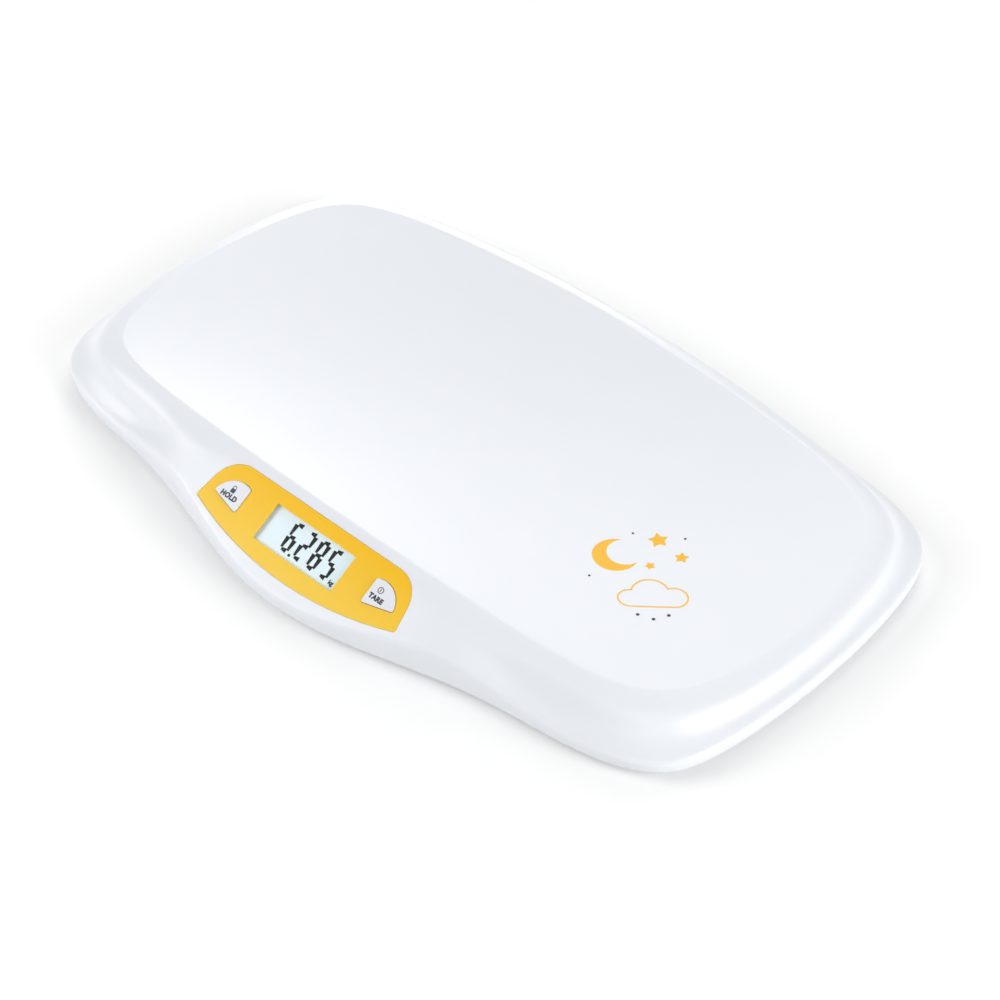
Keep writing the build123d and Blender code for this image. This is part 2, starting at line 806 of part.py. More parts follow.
removed = [block(0, bay_center, 0, bay_roof, 2 * bay_half_x, 2 * bay_half_y)]
door_room = door_reach + door_thickness / 2 + 2 * door_gap
door_middle = (door_front + hinge_y + door_thickness / 2) / 2
removed.append(block(0, door_middle, 0, door_top, 2 * (door_half_x + door_gap), door_room))
removed.append(bar_x(0, hinge_y, hinge_z, 2 * (door_half_x + pin_length + door_gap), pin_radius + pin_gap))
tab_room = 2 * contact_thickness
removed.append(block(
    bay_half_x + bay_wall, tab_y, tab_low - tab_room / 4, tab_low + tab_room, 3 * bay_wall, tab_width + tab_room,
))
for x, y in screw_spots:
    removed.append(rod(x, y, 0, screw_seat, screw_head_radius + screw_head_gap))
    removed.append(rod(x, y, 0, seat_top + 1, screw_radius + screw_gap))
for side_x, side_y in corners.values():
    removed.append(rod(side_x * cell_x, tray_y + side_y * cell_y, 0, cover_top + 1, foot_radius + foot_gap))
    for end in (-1, 1):
        x = side_x * cell_x + end * ear_offset
        y = tray_y + side_y * cell_y
        removed.append(rod(x, y, cover_top + ear_thickness - ear_screw_length, cover_top + 1, ear_screw_radius))
removed.append(rod(0, door_front - door_gap, 0, cover_bottom + grip_depth, grip_radius))
label_center = (label_x, tray_y + label_y)
removed.append(block(*label_center, 0, cover_bottom + label_thickness, label_width + fit_gap, label_height + fit_gap))
bottom_cover = bottom_cover.fuse(*added).cut(*removed)
save("bottom_cover", bottom_cover)

label_top = cover_bottom + label_thickness
save("rating_label", block(*label_center, cover_bottom, label_top, label_width, label_height))

housing_screws = []
for x, y in screw_spots:
    screw = cross_screw(screw_radius, screw_length, screw_head_radius, screw_head)
    housing_screws.append(Pos(x, y, screw_seat) * screw)
save_group("housing_screws", housing_screws)


# ---------------------------------------------------------------- load cells and feet

foot_top = cover_top - foot_top_gap
cell_low = cover_top + carrier_floor + cell_lift
cell_top = cell_low + cell_thickness
lead_radius = lead_diameter / 2
lead_on_cell = cell_top + lead_lift + lead_radius


def foot_solid():
    foot = rod(0, 0, foot_low, foot_top, foot_radius)
    foot = foot.fillet(foot_edge, foot.edges().group_by(Axis.Z)[-1])
    foot += rod(0, 0, foot_top, cell_low, hub_radius)
    return foot - rod(0, 0, 0, foot_pad_thickness, foot_pad_radius + fit_gap)


def foot_pad_solid():
    pad = rod(0, 0, 0, foot_pad_thickness, foot_pad_radius)
    return pad.fillet(foot_pad_edge, pad.edges().group_by(Axis.Z)[0])


def carrier_solid():
    top = cover_top + carrier_height
    room = carrier_size - 2 * carrier_wall
    shape = block(0, 0, cover_top, top, carrier_size, carrier_size)
    shape -= block(0, 0, cover_top + carrier_floor, top + 1, room, room)
    ledge = room / 2 - ledge_size / 2
    for x in (-ledge, ledge):
        for y in (-ledge, ledge):
            shape += block(x, y, cover_top, cell_low, ledge_size, ledge_size)
    for x in (-ear_offset, ear_offset):
        shape += rod(x, 0, cover_top, cover_top + ear_thickness, ear_radius)
        shape -= rod(x, 0, 0, cover_top + ear_thickness + 1, ear_screw_radius + screw_gap)
    shape -= block(-room / 2, 0, cell_top, top + 1, 4 * carrier_wall, carrier_notch)
    return shape - rod(0, 0, 0, top, carrier_hole_radius)


def load_cell_solid():
    # An outer frame, and a middle tongue that is joined to it on one side only
    opening = cell_size - 2 * cell_arm
    tongue = opening - 2 * cell_slot
    shape = block(0, 0, cell_low, cell_top, cell_size, cell_size)
    shape -= block(0, 0, 0, cell_top + 1, opening, opening)
    shape += block(cell_arm / 2, 0, cell_low, cell_top, tongue + cell_arm, tongue)
    return shape.fillet(1.5, shape.edges().filter_by(Axis.Z).group_by(SortBy.DISTANCE)[-1])


carrier = carrier_solid()
load_cell = load_cell_solid()
foot = foot_solid()
foot_pad = foot_pad_solid()
gauge = block(0, 0, cell_top, cell_top + gauge_thickness, gauge_length, gauge_width)
gauges = []
ear_screws = []
for corner, (side_x, side_y) in corners.items():
    x = side_x * cell_x
    y = tray_y + side_y * cell_y
    place = Pos(x, y, 0)
    turned = place * Rot(0, 0, 0 if side_x > 0 else 180)
    save(f"cell_carrier_{corner}", turned * carrier)
    save(f"load_cell_{corner}", turned * load_cell)
    save(f"foot_{corner}", place * foot)
    save(f"foot_pad_{corner}", place * foot_pad)
    gauges.append(turned * gauge)
    for end in (-1, 1):
        screw = cross_screw(ear_screw_radius, ear_screw_length, ear_screw_head_radius, ear_screw_head)
        head_seat = cover_top + ear_thickness
        ear_screws.append(Pos(x + end * ear_offset, y, head_seat) * Rot(180, 0, 0) * screw)
save_group("strain_gauges", gauges)
save_group("carrier_screws", ear_screws)


# ---------------------------------------------------------------- leads

lead_z = cover_top + lead_lift + lead_radius
down = (math.sin(tilt), -math.cos(tilt))
header_y = panel_y + header_v * math.cos(tilt) - header_back * math.sin(tilt)
header_z = panel_height + header_v * math.sin(tilt) + header_back * math.cos(tilt)
drop = (header_z - lead_z) / math.cos(tilt)
landing_y = header_y + drop * math.sin(tilt)
gauge_x = cell_x - gauge_length / 2
front_y = tray_y - cell_y
back_y = tray_y + cell_y


def lead(name, points):
    runs = [(Vector(*b) - Vector(*a)) for a, b in zip(points, points[1:])]
    radii = []
    for before, after in zip(runs, runs[1:]):
        half_turn = math.radians(before.get_angle(after)) / 2
        radii.append(0.45 * min(before.length, after.length) / math.tan(half_turn))
    path = FilletPolyline(*points, radius=radii)
    start = Plane(origin=points[0], z_dir=runs[0])
    shape = sweep(start * Circle(lead_radius), path=path)
    ideal = math.pi * lead_radius ** 2 * path.length
    print(name, "length", round(path.length, 1), "radii", [round(r, 1) for r in radii],
          "volume ratio", round(shape.volume / ideal, 4))
    return shape


front_route = [
    (header_pitch, header_y, header_z),
    (header_pitch, landing_y, lead_z),
    (40.0, tray_y - 127.1, lead_z),
    (85.0, tray_y - 116.1, lead_z),
    (135.0, tray_y - 89.1, lead_z),
    (cell_x - lead_turn, front_y, lead_on_cell),
    (gauge_x, front_y, lead_on_cell),
]
back_route = [
    (2 * header_pitch, header_y, header_z),
    (2 * header_pitch, landing_y, lead_z),
    (52.0, tray_y - 132.1, lead_z),
    (98.0, tray_y - 125.1, lead_z),
    (150.0, tray_y - 120.1, lead_z),
    (168.0, tray_y - 95.1, lead_z),
    (165.0, tray_y - 39.1, lead_z),
    (168.0, tray_y + 18.9, lead_z),
    (163.0, tray_y + 64.9, lead_z),
    (cell_x - lead_turn + 2, back_y, lead_on_cell),
    (gauge_x, back_y, lead_on_cell),
]
battery_route = [
    (0.0, header_y, header_z),
    (0.0, landing_y, lead_z),
    (8.0, tray_y - 104.1, lead_z),
    (18.0, tray_y - 61.1, lead_z),
    (30.0, tray_y - 17.1, lead_z),
    (42.0, tray_y + 16.9, lead_z),
    (43.0, tab_y, cell_axis),
    (tab_end, tab_y, cell_axis),
]
for where, route in (("front", front_route), ("back", back_route)):
    right = lead(f"cell_lead_{where}", route)
    save(f"cell_lead_{where}_right", right)
    save(f"cell_lead_{where}_left", mirrored(right))
save("battery_lead", lead("battery_lead", battery_route))
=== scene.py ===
import math

import bmesh
import bpy
from mathutils import Matrix, Vector
from mathutils.bvhtree import BVHTree


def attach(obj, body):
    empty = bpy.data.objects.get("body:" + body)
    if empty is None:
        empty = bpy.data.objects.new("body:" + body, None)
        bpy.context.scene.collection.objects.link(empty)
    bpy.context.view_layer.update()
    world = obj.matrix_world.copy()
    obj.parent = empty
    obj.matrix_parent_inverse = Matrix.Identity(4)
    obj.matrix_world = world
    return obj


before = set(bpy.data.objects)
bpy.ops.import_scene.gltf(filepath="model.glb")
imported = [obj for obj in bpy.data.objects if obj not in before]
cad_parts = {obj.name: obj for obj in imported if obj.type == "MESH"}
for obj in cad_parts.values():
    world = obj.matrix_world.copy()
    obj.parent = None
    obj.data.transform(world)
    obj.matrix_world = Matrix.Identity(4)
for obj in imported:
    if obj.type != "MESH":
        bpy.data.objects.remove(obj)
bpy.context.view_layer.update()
mm = 0.001
print("frame loaded:", len(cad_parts), "nodes")


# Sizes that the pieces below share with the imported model

panelSet = {"tilt": 30.0, "y": -136.75, "z": 32.5}
traySet = {"y": 13.55, "printLift": 0.08, "footX": 205.0, "footY": 92.0}

tilt = math.radians(panelSet["tilt"])
panelPlace = Matrix.Translation((0, panelSet["y"] * mm, panelSet["z"] * mm))
panelMatrix = panelPlace @ Matrix.Rotation(tilt, 4, "X")


# Colours and shader nodes

def linear(hexText):
    parts = [int(hexText[i:i + 2], 16) / 255 for i in (1, 3, 5)]
    return tuple(p / 12.92 if p <= 0.04045 else ((p + 0.055) / 1.055) ** 2.4 for p in parts) + (1.0,)


def addNode(material, kind, inputs=None, **settings):
    node = material.node_tree.nodes.new(kind)
    for key, value in settings.items():
        setattr(node, key, value)
    for socket, value in (inputs or {}).items():
        if isinstance(value, bpy.types.NodeSocket):
            material.node_tree.links.new(value, node.inputs[socket])
        else:
            node.inputs[socket].default_value = value
    return node


def newMaterial(name, **uniform):
    material = bpy.data.materials.new(name)
    material.use_nodes = True
    shader = material.node_tree.nodes["Principled BSDF"]
    for key, value in uniform.items():
        shader.inputs[key.replace("_", " ")].default_value = value
    return material, shader


def link(material, output, socket):
    material.node_tree.links.new(output, socket)


def objectPoint(material):
    return addNode(material, "ShaderNodeTexCoord").outputs["Object"]


def noiseOf(material, point, size, detail=2.0):  # size of one blotch in millimetres
    return addNode(material, "ShaderNodeTexNoise",
                   {"Vector": point, "Scale": 1 / (size * mm), "Detail": detail}).outputs["Fac"]


noiseReach = (0.2, 0.8)  # where the values of a noise lie, nearly all of them


def rangeOf(material, value, start, end):
    return addNode(material, "ShaderNodeMapRange", {
        "Value": value, "From Min": start[0], "From Max": start[1], "To Min": end[0],
        "To Max": end[1]}).outputs["Result"]


def between(material, value, low, high):
    return rangeOf(material, value, noiseReach, (low, high))


def blendColours(material, fac, first, second):
    node = addNode(material, "ShaderNodeMix", {"Factor": fac}, data_type="RGBA")
    for letter, value in (("A", first), ("B", second)):
        socket = [s for s in node.inputs if s.identifier == letter + "_Color"][0]
        if isinstance(value, bpy.types.NodeSocket):
            link(material, value, socket)
        else:
            socket.default_value = value
    return [s for s in node.outputs if s.identifier == "Result_Color"][0]


def paint(material, shader, fac, first, second):
    link(material, blendColours(material, fac, first, second), shader.inputs["Base Color"])


def roughen(material, shader, fac, low, high):
    link(material, between(material, fac, low, high), shader.inputs["Roughness"])


def addBump(material, shader, height, depth):  # depth in millimetres
    bump = addNode(material, "ShaderNodeBump", {"Height": height, "Strength": 1.0, "Distance": depth * mm})
    link(material, bump.outputs["Normal"], shader.inputs["Normal"])


def mouldedPlastic(name, light, dark, rough=(0.3, 0.36), grain=0.5, depth=0.004, flow=60.0, **uniform):
    material, shader = newMaterial(name, **uniform)
    point = objectPoint(material)
    paint(material, shader, noiseOf(material, point, flow), linear(light), linear(dark))
    roughen(material, shader, noiseOf(material, point, flow / 4), *rough)
    addBump(material, shader, noiseOf(material, point, grain, 3.0), depth)
    return material


# Finishes

faceSet = {"top": "#FFC608", "bottom": "#FFD54A", "fleck": "#E9A100", "low": -24.0, "high": 22.0}
# glow: colour of the display's painted glow, an emission standing in for light the display does not give
# left and right: glass colours at its two ends, the right one lighter as painted light against the shade on
# that side
glassSet = {"left": "#DFEFF6", "right": "#E2F3FA", "film": "#B9D2DC", "glow": "#D6F0FA", "halfWidth": 34.0}
gripSet = {"spacing": 2.4, "depth": 0.25, "light": "#6C6F73", "dark": "#5A5D61"}


def shellPlastic():  # white satin plastic with the faint flow and fine orange peel of a large moulding
    return mouldedPlastic("whiteHousing", "#F2F5FA", "#F0F3F8", (0.36, 0.4), 0.9, 0.002, 40.0,
                          Coat_Weight=0.08, Coat_Roughness=0.26)


def basePlastic():  # underside plastic: the same white with a spark-eroded, matt texture
    return mouldedPlastic("matteBase", "#E9EBEE", "#E3E6EA", (0.5, 0.62), 0.35, 0.02, 60.0)


def keyPlastic():  # pale grey-white keys, silky, a little bluer than the housing
    return mouldedPlastic("silkyKey", "#EEF0F5", "#E8EBF1", (0.34, 0.42), 0.4, 0.004, 12.0)


def innerPlastic():  # uncoloured inner mouldings
    return mouldedPlastic("naturalPlastic", "#D9D7CD", "#CFCDC2", (0.42, 0.5), 0.6, 0.01, 20.0)


def blackPlastic():  # small black mouldings and epoxy
    return mouldedPlastic("blackEpoxy", "#1B1C1E", "#141517", (0.35, 0.5), 0.3, 0.01, 6.0)


def faceFoil():  # printed yellow sheet: deeper at its upper edge, paler below, with a fine emboss
    material, shader = newMaterial("yellowFace", Specular_IOR_Level=0.2, Coat_Weight=0.06,
                                   Coat_Roughness=0.18)
    point = objectPoint(material)
    turned = addNode(material, "ShaderNodeMapping", {"Vector": point, "Rotation": (-tilt, 0, 0)},
                     vector_type="POINT")
    place = addNode(material, "ShaderNodeSeparateXYZ", {"Vector": turned.outputs["Vector"]})
    middle = (Matrix.Rotation(-tilt, 3, "X") @ panelMatrix.translation).y
    reach = (middle + faceSet["low"] * mm, middle + faceSet["high"] * mm)
    up = rangeOf(material, place.outputs["Y"], reach, (0.0, 1.0))
    colour = blendColours(material, up, linear(faceSet["bottom"]), linear(faceSet["top"]))
    flecks = between(material, noiseOf(material, point, 0.25), 0.0, 0.05)
    paint(material, shader, flecks, colour, linear(faceSet["fleck"]))
    roughen(material, shader, noiseOf(material, point, 8.0), 0.3, 0.38)
    addBump(material, shader, noiseOf(material, point, 0.3), 0.003)
    return material


def clearWindow():  # clear plastic over the display: nearly unseen, only a sheen and a trace of haze
    material, shader = newMaterial("clearWindow", Alpha=0.015, IOR=1.49)
    point = objectPoint(material)
    clouds = noiseOf(material, point, 20.0)
    paint(material, shader, clouds, linear("#F4F9FB"), linear("#EAF3F6"))
    roughen(material, shader, noiseOf(material, point, 5.0), 0.05, 0.1)
    return material


def displayGlass():  # liquid crystal glass: pale blue, with the fine dot of its film, and a faint emission that is a painted glow, since the display has no lamp behind it
    material, shader = newMaterial("displayGlass", Coat_Weight=0.1, Coat_Roughness=0.08,
                                   Emission_Color=linear(glassSet["glow"]), Emission_Strength=0.11)
    point = objectPoint(material)
    across = addNode(material, "ShaderNodeSeparateXYZ", {"Vector": point})
    # painted light: the glass is a little lighter towards the right, to lift the shade that falls on that
    # side of its recess
    half = glassSet["halfWidth"] * mm
    side = rangeOf(material, across.outputs["X"], (-half, half), (0.0, 1.0))
    colour = blendColours(material, side, linear(glassSet["left"]), linear(glassSet["right"]))
    grain = between(material, noiseOf(material, point, 0.12), 0.0, 0.08)
    paint(material, shader, grain, colour, linear(glassSet["film"]))
    roughen(material, shader, noiseOf(material, point, 4.0), 0.28, 0.36)
    return material


def footRubber():  # grey rubber, dull, with a dusty bloom and fine turned grip rings under each foot
    material, shader = newMaterial("footRubber", Sheen_Weight=0.15)
    point = objectPoint(material)
    steps = (("SUBTRACT", (0, traySet["y"] * mm, 0)), ("ABSOLUTE", None),
             ("SUBTRACT", (traySet["footX"] * mm, traySet["footY"] * mm, 0)), ("MULTIPLY", (1, 1, 0)))
    spot = point
    for operation, amount in steps:  # folds the four feet onto one and lays its middle at the origin
        inputs = {0: spot} if amount is None else {0: spot, 1: amount}
        spot = addNode(material, "ShaderNodeVectorMath", inputs, operation=operation).outputs["Vector"]
    reach = addNode(material, "ShaderNodeVectorMath", {0: spot}, operation="LENGTH")
    turns = addNode(material, "ShaderNodeMath", {
        0: reach.outputs["Value"], 1: math.tau / (gripSet["spacing"] * mm)}, operation="MULTIPLY")
    rings = addNode(material, "ShaderNodeMath", {0: turns.outputs["Value"]}, operation="SINE")
    grain = addNode(material, "ShaderNodeMath", {
        0: noiseOf(material, point, 0.4), 1: 0.08, 2: rings.outputs["Value"]}, operation="MULTIPLY_ADD")
    bloom = noiseOf(material, point, 6.0, 4.0)
    paint(material, shader, bloom, linear(gripSet["dark"]), linear(gripSet["light"]))
    roughen(material, shader, noiseOf(material, point, 3.0), 0.75, 0.9)
    addBump(material, shader, grain.outputs["Value"], gripSet["depth"])
    return material


def rolledSteel(name, light, dark, rough):  # plated sheet steel, brushed along one way
    material, shader = newMaterial(name, Metallic=1.0)
    point = objectPoint(material)
    streaks = addNode(material, "ShaderNodeMapping", {"Vector": point, "Scale": (0.08, 1.0, 1.0)})
    brush = noiseOf(material, streaks.outputs["Vector"], 0.25, 3.0)
    paint(material, shader, noiseOf(material, point, 7.0), linear(light), linear(dark))
    roughen(material, shader, brush, *rough)
    addBump(material, shader, brush, 0.006)
    return material


def boardLaminate():  # green solder mask over copper tracks, with the weave of the glass cloth under it
    material, shader = newMaterial("boardLaminate", Coat_Weight=0.3, Coat_Roughness=0.2)
    point = objectPoint(material)
    weave = addNode(material, "ShaderNodeTexWave", {"Vector": point, "Scale": 320.0, "Distortion": 2.0})
    tracks = addNode(material, "ShaderNodeTexBrick", {
        "Vector": point, "Scale": 110.0, "Mortar Size": 0.012, "Color1": linear("#0F5A36"),
        "Color2": linear("#0D5030"), "Mortar": linear("#1E7A4C")})
    cloth = between(material, weave.outputs["Fac"], 0.0, 0.2)
    paint(material, shader, cloth, tracks.outputs["Color"], linear("#0A4428"))
    roughen(material, shader, noiseOf(material, point, 2.0), 0.35, 0.5)
    addBump(material, shader, weave.outputs["Fac"], 0.006)
    return material


def cableJacket():  # soft black cable sleeve
    material, shader = newMaterial("cableJacket")
    point = objectPoint(material)
    clouds = noiseOf(material, point, 9.0)
    paint(material, shader, clouds, linear("#26272A"), linear("#1B1C1F"))
    roughen(material, shader, noiseOf(material, point, 2.0), 0.45, 0.6)
    addBump(material, shader, noiseOf(material, point, 0.5), 0.01)
    return material


def cellSleeve():  # plain dark shrink sleeve on a round cell
    material, shader = newMaterial("cellSleeve", Coat_Weight=0.5, Coat_Roughness=0.1)
    point = objectPoint(material)
    clouds = noiseOf(material, point, 15.0)
    paint(material, shader, clouds, linear("#2B3038"), linear("#353B45"))
    roughen(material, shader, noiseOf(material, point, 4.0), 0.25, 0.35)
    addBump(material, shader, noiseOf(material, point, 1.2), 0.01)
    return material


def contactRubber():  # layered conductive strips: fine dark and pink bands
    material, shader = newMaterial("contactRubber")
    point = objectPoint(material)
    bands = addNode(material, "ShaderNodeTexWave", {"Vector": point, "Scale": 1600.0, "Distortion": 0.0},
                    bands_direction="X")
    paint(material, shader, bands.outputs["Fac"], linear("#C9A0A0"), linear("#3A3333"))
    roughen(material, shader, noiseOf(material, point, 1.0), 0.6, 0.7)
    return material


def bareLabel():  # silver-grey film label, left bare
    material, shader = newMaterial("bareLabel", Metallic=0.3)
    point = objectPoint(material)
    clouds = noiseOf(material, point, 14.0)
    paint(material, shader, clouds, linear("#C9CCCF"), linear("#BEC2C6"))
    roughen(material, shader, noiseOf(material, point, 3.0), 0.4, 0.5)
    addBump(material, shader, noiseOf(material, point, 0.6), 0.005)
    return material


def printInk(name, light, dark, rough=0.4, **uniform):  # screen-printed ink of slightly uneven cover
    material, shader = newMaterial(name, Roughness=rough, **uniform)
    point = objectPoint(material)
    paint(material, shader, noiseOf(material, point, 0.6, 4.0), linear(light), linear(dark))
    addBump(material, shader, noiseOf(material, point, 0.2), 0.002)
    return material


white = shellPlastic()
matte = basePlastic()
natural = innerPlastic()
black = blackPlastic()
steel = rolledSteel("zincSteel", "#C4C6C8", "#AEB1B4", (0.25, 0.4))
nickel = rolledSteel("nickelSteel", "#CFCBC0", "#BAB6AA", (0.2, 0.35))
keyFinish = keyPlastic()
rubber = footRubber()
jacket = cableJacket()
sleeve = cellSleeve()
darkInk = printInk("slateInk", "#22303B", "#293844")
yellowInk = printInk("yellowInk", "#FFC40A", "#FBBB00")
segmentInk = printInk("liquidSegment", "#050607", "#090B0C", 0.35, Specular_IOR_Level=0.1)

corners = ("front_left", "front_right", "back_left", "back_right")
finishes = {
    "top_shell": white, "bottom_cover": matte, "battery_door": matte, "faceplate": faceFoil(),
    "display_window": clearWindow(), "lcd_glass": displayGlass(), "lcd_frame": natural,
    "contact_strips": contactRubber(), "main_board": boardLaminate(), "main_chip": black,
    "board_headers": natural, "board_screws": steel, "hold_button": keyFinish, "tare_button": keyFinish,
    "hold_switch": black, "tare_switch": black, "hold_plunger": natural, "tare_plunger": natural,
    "strain_gauges": natural, "carrier_screws": steel, "housing_screws": steel, "battery_plates": nickel,
    "battery_springs": nickel, "battery_1": sleeve, "battery_2": sleeve, "battery_3": sleeve,
    "battery_lead": jacket, "rating_label": bareLabel(),
}
for corner in corners:
    finishes["load_cell_" + corner] = steel
    finishes["cell_carrier_" + corner] = natural
    finishes["foot_" + corner] = matte
    finishes["foot_pad_" + corner] = rubber
    finishes["cell_lead_" + corner] = jacket
for name, finish in finishes.items():
    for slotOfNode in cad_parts[name].material_slots:
        slotOfNode.material = finish
print("finishes given to", len(finishes), "nodes")


# Making pieces

def pieceFrom(mesh, name, material, body):
    mesh.name = name
    mesh.materials.clear()
    mesh.materials.append(material)
    piece = bpy.data.objects.new(name, mesh)
    bpy.context.scene.collection.objects.link(piece)
    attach(piece, body)
    return piece


def pieceFromBmesh(bm, name, material, body):
    bmesh.ops.recalc_face_normals(bm, faces=bm.faces)
    mesh = bpy.data.meshes.new(name)
    bm.to_mesh(mesh)
    bm.free()
    return pieceFrom(mesh, name, material, body)


capitalShare = 0.7  # of the font's size
signThick = 0.02
signLift = 0.005


def textMesh(text, height, spacing, bold, thick=signThick):  # height of a capital, in millimetres
    curve = bpy.data.curves.new("words", "FONT")
    curve.body = text
    curve.align_x = "CENTER"
    curve.align_y = "CENTER"
    curve.size = height * mm / capitalShare
    curve.space_character = spacing
    curve.offset = bold * mm
    curve.extrude = thick * mm
    curve.resolution_u = 6
    words = bpy.data.objects.new("words", curve)
    mesh = bpy.data.meshes.new_from_object(words)
    bpy.data.objects.remove(words)
    return mesh


def panelSpot(u, v, w):  # a place on the sloping panel: across, up the slope and out of it
    return panelMatrix @ Matrix.Translation((u * mm, v * mm, w * mm))


# Display figures: upright seven-bar digits, one point and the unit

figureSet = {"number": "6.285", "starts": (-16.0, -5.0, 6.2, 17.2), "width": 8.2, "height": 20.6,
             "middle": 0.8, "bar": 3.0, "gap": 0.3, "tip": 0.55, "barShare": 0.92, "level": -2.72,
             "thick": 0.03, "point": (-6.4, -9.0, 1.9), "unit": (28.8, -8.2, 2.9, 0.95, 0.14)}
barsOf = {"0": "abcdef", "1": "bc", "2": "abdeg", "3": "abcdg", "4": "bcfg", "5": "acdfg", "6": "acdefg",
          "7": "abc", "8": "abcdefg", "9": "abcdfg"}


def addBar(bm, x, y, length, upright, size):
    # one bar is a long six-sided plate with pointed ends
    verts = bmesh.ops.create_circle(bm, cap_ends=True, segments=6, radius=1.0)["verts"]
    bmesh.ops.scale(bm, vec=(1.0, size / 2 / math.cos(math.pi / 6), 1.0), verts=verts)
    for vert in verts:
        reach = length / 2 if abs(vert.co.x) > 0.9 else length / 2 - size / 2
        vert.co.x = math.copysign(reach, vert.co.x)
    if upright:
        bmesh.ops.rotate(bm, cent=(0, 0, 0), matrix=Matrix.Rotation(math.pi / 2, 3, "Z"), verts=verts)
    bmesh.ops.translate(bm, vec=(x, y, 0), verts=verts)


def addDot(bm, x, y, radius):
    dot = bmesh.ops.create_circle(bm, cap_ends=True, segments=20, radius=radius)
    bmesh.ops.translate(bm, vec=(x, y, 0), verts=dot["verts"])


def figureBmesh():
    bm = bmesh.new()
    s = figureSet
    half = s["height"] / 2 - s["bar"] / 2
    digits = [d for d in s["number"] if d != "."]
    for start, digit in zip(s["starts"], digits):
        left = start + s["bar"] / 2
        right = start + s["width"] - s["bar"] / 2
        centre = (left + right) / 2
        flat = right - left - s["gap"]
        tall = half - s["gap"]
        places = {
            "a": (centre, half, flat, False), "g": (centre, 0, flat, False),
            "d": (centre, -half, flat, False), "f": (left, half / 2, tall, True),
            "b": (right, half / 2, tall, True), "e": (left, -half / 2, tall, True),
            "c": (right, -half / 2, tall, True)}
        for bar in barsOf[digit]:
            x, y, length, upright = places[bar]
            addBar(bm, x, y + s["middle"], length + s["bar"] * s["tip"], upright, s["bar"] * s["barShare"])
    px, py, size = s["point"]
    addDot(bm, px, py, size / 2)
    return bm


def thicken(bm, thick):
    made = bmesh.ops.extrude_face_region(bm, geom=list(bm.faces))
    raised = [v for v in made["geom"] if isinstance(v, bmesh.types.BMVert)]
    bmesh.ops.translate(bm, vec=(0, 0, thick), verts=raised)


def buildFigures():
    s = figureSet
    bm = figureBmesh()
    thicken(bm, s["thick"])
    bmesh.ops.scale(bm, vec=(mm, mm, mm), verts=bm.verts)
    bmesh.ops.transform(bm, matrix=panelSpot(0, 0, s["level"]), verts=bm.verts)
    pieceFromBmesh(bm, "displayFigures", segmentInk, "housing")
    u, v, height, spacing, bold = s["unit"]
    unit = textMesh("kg", height, spacing, bold, s["thick"] / 2)
    unit.transform(panelSpot(u, v, s["level"] + s["thick"]))
    pieceFrom(unit, "displayUnit", segmentInk, "housing")


buildFigures()
print("display figures made")


# Key legends: a word and a sign on each key

legendSet = {"level": 0.8, "holdWord": (-64.6, -0.8, 3.1), "tareWord": (62.0, -0.8, 2.95), "bold": 0.3,
             "spacing": 1.1, "lock": (-64.4, 4.5, 1.25), "power": (61.6, 4.7, 2.1, 0.5), "stroke": 2.1}
lockSet = {"body": (2.7, 2.3), "corner": 0.3, "drop": 1.0, "legFoot": 0.15, "leg": 0.6, "bow": (0.72, 1.08)}


